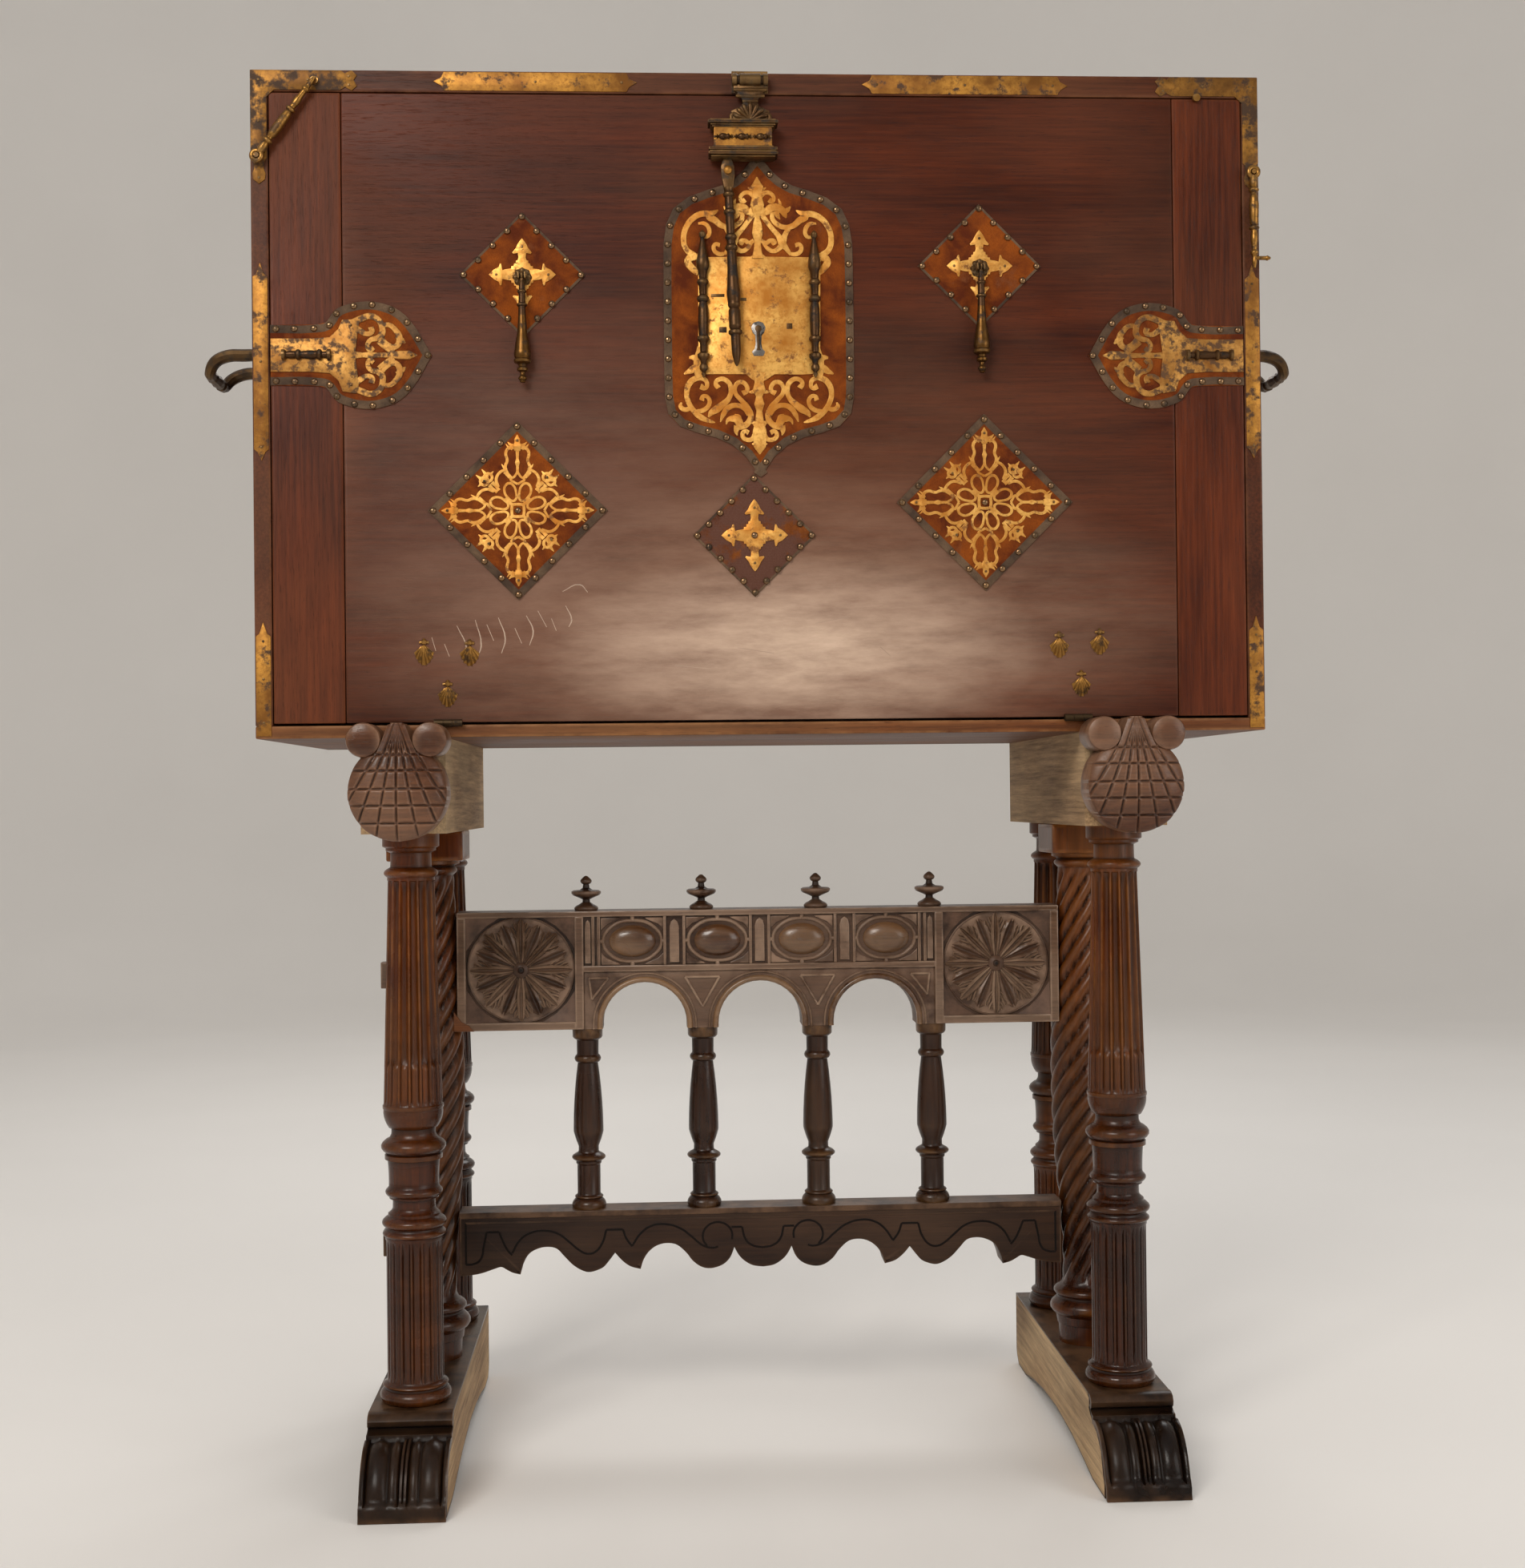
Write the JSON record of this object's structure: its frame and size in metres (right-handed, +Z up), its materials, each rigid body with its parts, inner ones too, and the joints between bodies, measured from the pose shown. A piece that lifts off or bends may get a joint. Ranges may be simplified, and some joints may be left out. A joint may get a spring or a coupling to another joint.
{
  "type": "fall-front writing cabinet on stand",
  "caption": "Fall-front writing cabinet with gilt iron over velvet and a hasp, drawers behind the fall, on an arcaded trestle stand with turned columns and sliding lopers.",
  "frame": {"origin": "on the floor, under the middle of the overall box", "axes": "+Z up along the height, -Y out of the fall front, +X to the right of a person who faces the front"},
  "size_m": [1.243, 0.517, 1.4855],
  "materials": {
    "chest_walnut": "worn wax",
    "stand_walnut": "worn wax",
    "drawer_walnut": "satin",
    "gilt_iron": "worn gilding",
    "dark_iron": "dark and worn",
    "rust_velvet": "worn velvet"
  },
  "bodies": {
    "carcass_and_stand": {"arcade_beam": "stand_walnut", "baluster_1": "stand_walnut", "baluster_2": "stand_walnut", "baluster_3": "stand_walnut", "baluster_4": "stand_walnut", "carcass_hinge_knuckles": "dark_iron", "catch_studs": "dark_iron", "chest_back": "chest_walnut", "chest_bottom": "chest_walnut", "chest_top": "chest_walnut", "cupboard_door": "drawer_walnut", "drawer_case": "drawer_walnut", "edge_irons": "gilt_iron", "finials": "stand_walnut", "handle_eyes": "dark_iron", "hasp_strap": "dark_iron", "lower_stretcher": "stand_walnut", "left_foot": "stand_walnut", "left_front_column": "stand_walnut", "left_back_column": "stand_walnut", "left_twisted_column": "stand_walnut", "left_bearer": "stand_walnut", "left_chest_side": "chest_walnut", "left_lower_drawer": "drawer_walnut", "left_middle_drawer": "drawer_walnut", "left_upper_drawer": "drawer_walnut", "right_foot": "stand_walnut", "right_front_column": "stand_walnut", "right_back_column": "stand_walnut", "right_twisted_column": "stand_walnut", "right_bearer": "stand_walnut", "right_chest_side": "chest_walnut", "right_lower_drawer": "drawer_walnut", "right_middle_drawer": "drawer_walnut", "right_upper_drawer": "drawer_walnut"},
    "fall_front": {"fall_panel": "chest_walnut", "fall_clamps": "chest_walnut", "fall_hinge_knuckles": "dark_iron", "lock_velvet": "rust_velvet", "lock_plate": "gilt_iron", "lock_case": "dark_iron", "velvet_diamonds": "rust_velvet", "cross_plates": "gilt_iron", "rosette_plates": "gilt_iron", "strap_velvets": "rust_velvet", "strap_plates": "gilt_iron", "dome_tacks": "gilt_iron", "scallop_studs": "gilt_iron", "pull_bosses": "gilt_iron"},
    "hasp": {"hasp": "dark_iron"},
    "left_pull": {"left_drop_pull": "gilt_iron"},
    "right_pull": {"right_drop_pull": "gilt_iron"},
    "left_catch": {"left_catch": "dark_iron"},
    "right_catch": {"right_catch": "dark_iron"},
    "left_loper": {"left_loper": "stand_walnut", "left_loper_shell": "stand_walnut"},
    "right_loper": {"right_loper": "stand_walnut", "right_loper_shell": "stand_walnut"},
    "left_handle": {"left_handle": "dark_iron"},
    "right_handle": {"right_handle": "dark_iron"}
  },
  "joints": [
    {"name": "fall_hinge", "type": "hinge", "parent": "carcass_and_stand", "child": "fall_front", "pos_m": [0, -0.194, 0.8037], "axis": [1, 0, 0], "range_deg": [0, 90]},
    {"name": "hasp_lift", "type": "hinge", "parent": "fall_front", "child": "hasp", "pos_m": [-0.011, -0.1978, 1.4735], "axis": [-1, 0, 0], "range_deg": [0, 100]},
    {"name": "left_pull_swing", "type": "hinge", "parent": "fall_front", "child": "left_pull", "pos_m": [-0.2505, -0.2012, 1.2675], "axis": [-1, 0, 0], "range_deg": [0, 75]},
    {"name": "right_pull_swing", "type": "hinge", "parent": "fall_front", "child": "right_pull", "pos_m": [0.2295, -0.2012, 1.278], "axis": [-1, 0, 0], "range_deg": [0, 75]},
    {"name": "left_catch_turn", "type": "hinge", "parent": "fall_front", "child": "left_catch", "pos_m": [-0.522, -0.198, 1.3915], "axis": [0, 1, 0], "range_deg": [0, 143.6]},
    {"name": "right_catch_turn", "type": "hinge", "parent": "carcass_and_stand", "child": "right_catch", "pos_m": [0.522, -0.198, 1.38], "axis": [0, 1, 0], "range_deg": [0, 143.6]},
    {"name": "left_loper_slide", "type": "slide", "parent": "carcass_and_stand", "child": "left_loper", "axis": [0, -1, 0], "range_m": [0, 0.14]},
    {"name": "right_loper_slide", "type": "slide", "parent": "carcass_and_stand", "child": "right_loper", "axis": [0, -1, 0], "range_m": [0, 0.14]},
    {"name": "left_handle_lift", "type": "hinge", "parent": "carcass_and_stand", "child": "left_handle", "pos_m": [-0.5425, 0.0345, 1.226], "axis": [0, 1, 0], "range_deg": [0, 70]},
    {"name": "right_handle_lift", "type": "hinge", "parent": "carcass_and_stand", "child": "right_handle", "pos_m": [0.5425, 0.0345, 1.226], "axis": [0, -1, 0], "range_deg": [0, 70]}
  ]
}
